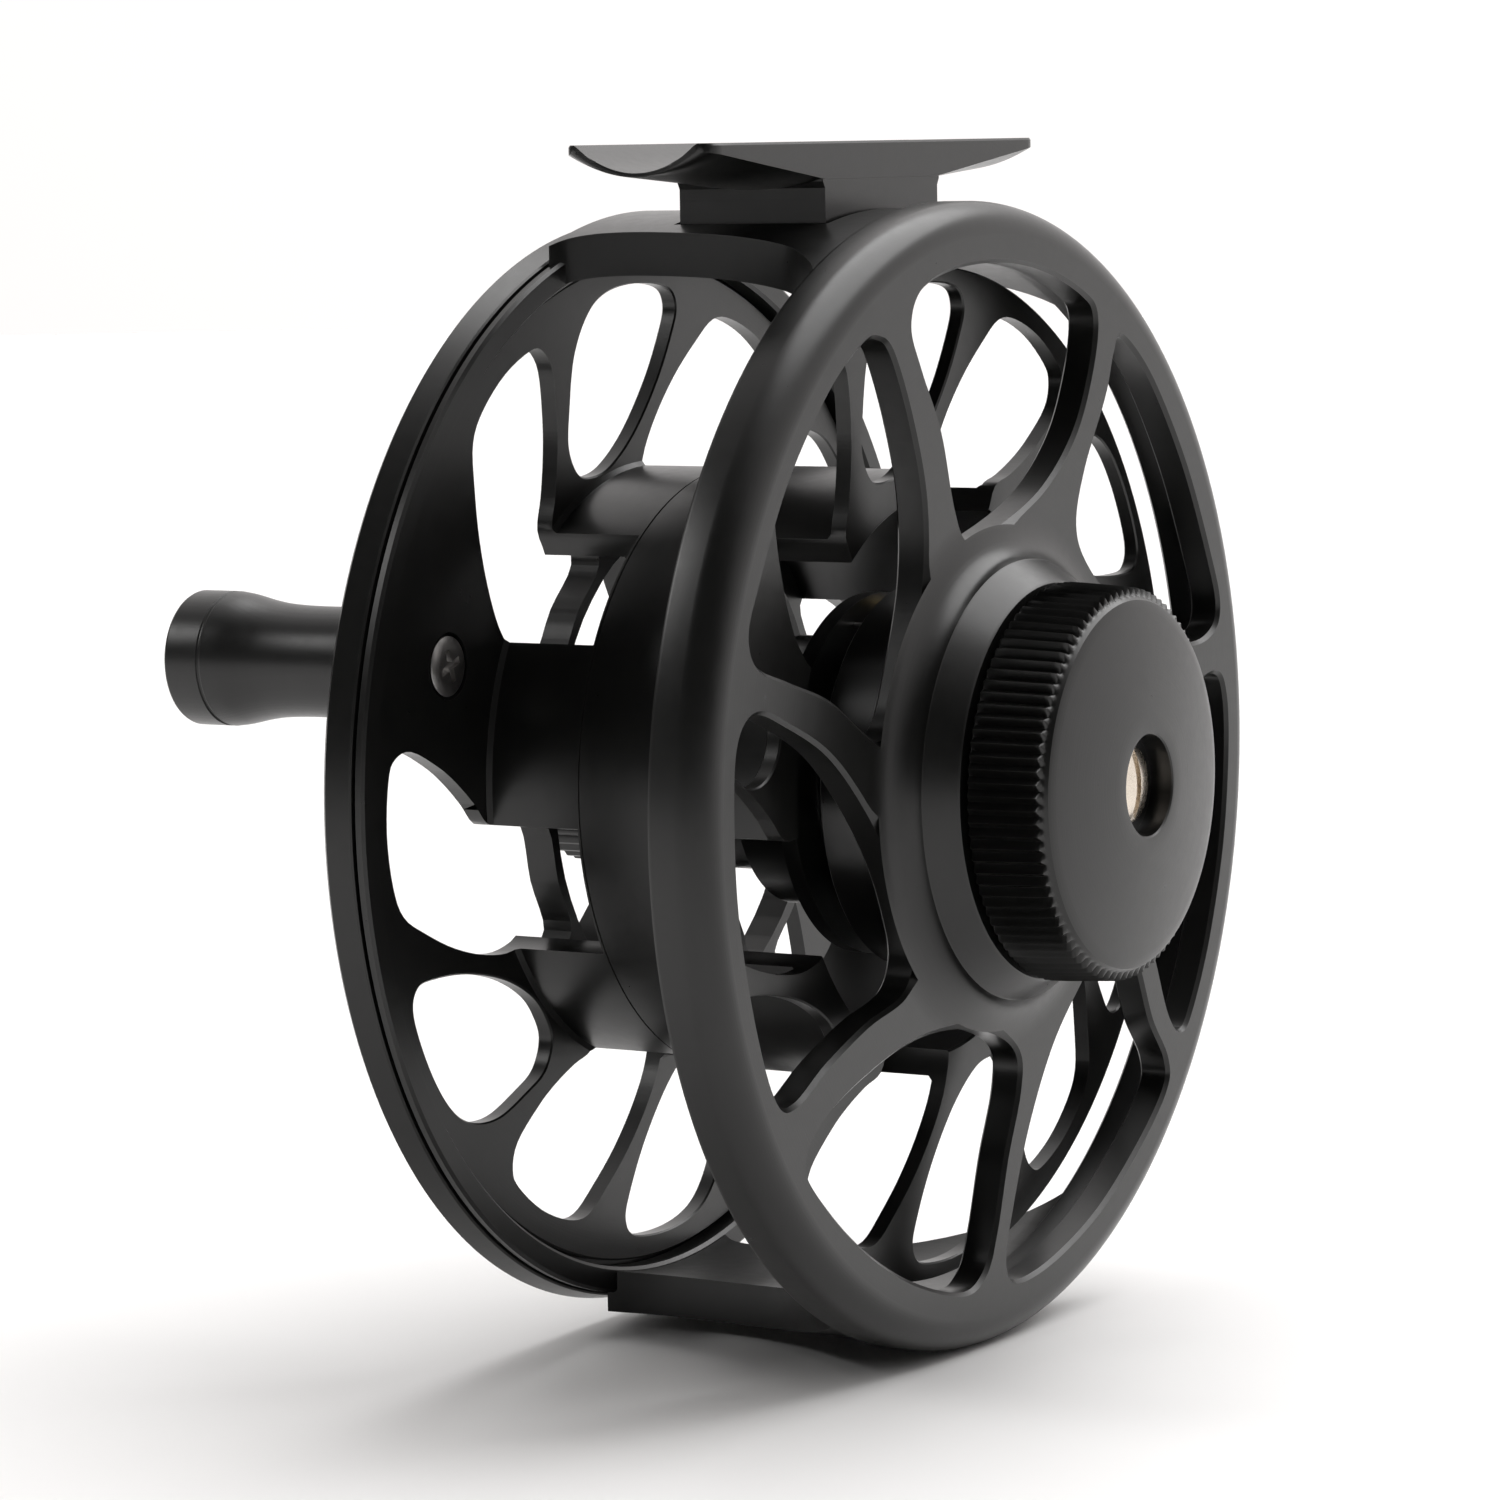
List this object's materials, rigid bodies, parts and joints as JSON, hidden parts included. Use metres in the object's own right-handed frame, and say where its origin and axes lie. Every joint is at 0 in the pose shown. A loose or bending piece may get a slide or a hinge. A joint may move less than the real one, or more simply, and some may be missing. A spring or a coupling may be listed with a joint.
{
  "type": "fly reel",
  "caption": "Large-arbor fly reel with a caged frame, swirling windows, a ported spool, a knurled drag knob, a turned winding handle and a saddle foot.",
  "frame": {"origin": "centre of the trough on top of the foot, where the rod rests", "axes": "+Z out of the foot, away from the spool; +X along the foot and the rod; +Y along the spool axis, from the drag knob towards the winding handle"},
  "size_m": [0.1044, 0.0794, 0.11],
  "materials": {
    "black_anodised": "satin black anodised",
    "black_grip": "matte",
    "stainless_steel": "machined",
    "nickel": "satin",
    "brass": "machined",
    "bronze": "sintered bronze",
    "aluminium": "machined",
    "carbon_fibre": "woven carbon friction material",
    "rubber": "matte"
  },
  "bodies": {
    "frame_body": {"frame": "black_anodised", "reel_foot": "black_anodised", "foot_screw_left": "stainless_steel", "foot_screw_right": "stainless_steel", "spindle": "stainless_steel", "knob_screw": "nickel", "spring_washer_front": "stainless_steel", "spring_washer_rear": "stainless_steel", "friction_plate": "stainless_steel", "drag_washer": "carbon_fibre", "thrust_washer": "bronze", "drag_cover": "black_anodised", "drag_seal": "rubber", "click_wheel": "stainless_steel", "bearing_spacer": "aluminium", "spool_cap": "black_anodised", "cap_screw": "stainless_steel"},
    "knob": {"drag_knob": "black_anodised"},
    "nut": {"adjusting_nut": "brass"},
    "rotor": {"drag_rotor": "stainless_steel"},
    "spool_body": {"spool": "black_anodised", "one_way_clutch": "stainless_steel", "bearing_front": "stainless_steel", "bearing_rear": "stainless_steel", "handle_post": "stainless_steel", "handle_screw": "stainless_steel", "handle_washer": "nickel", "counterweight": "nickel", "counterweight_screw": "stainless_steel", "pawl_pin": "stainless_steel", "click_spring": "stainless_steel"},
    "handle": {"handle_grip": "black_grip"},
    "pawl": {"click_pawl": "brass"}
  },
  "joints": [
    {"name": "spool_spin", "type": "hinge", "parent": "frame_body", "child": "spool_body", "pos_m": [0, 0, -0.05525], "axis": [0, 1, 0], "continuous": true},
    {"name": "handle_spin", "type": "hinge", "parent": "spool_body", "child": "handle", "pos_m": [-0.03396, 0.03295, -0.04329], "axis": [0, 1, 0], "continuous": true},
    {"name": "knob_turn", "type": "hinge", "parent": "frame_body", "child": "knob", "pos_m": [0, -0.0295, -0.05525], "axis": [0, 1, 0], "range_deg": [0, 330]},
    {"name": "nut_travel", "type": "slide", "parent": "knob", "child": "nut", "axis": [0, 1, 0], "range_m": [0, 0.0007]},
    {"name": "drag_slip", "type": "hinge", "parent": "frame_body", "child": "rotor", "pos_m": [0, -0.0165, -0.05525], "axis": [0, 1, 0], "continuous": true},
    {"name": "pawl_rock", "type": "hinge", "parent": "spool_body", "child": "pawl", "pos_m": [0.00383, -0.00905, -0.04095], "axis": [0, 1, 0], "range_deg": [-6, 6]}
  ],
  "couplings": [
    {"joint": "nut_travel", "follows": "knob_turn", "m_per_rad": 0.00011937}
  ]
}
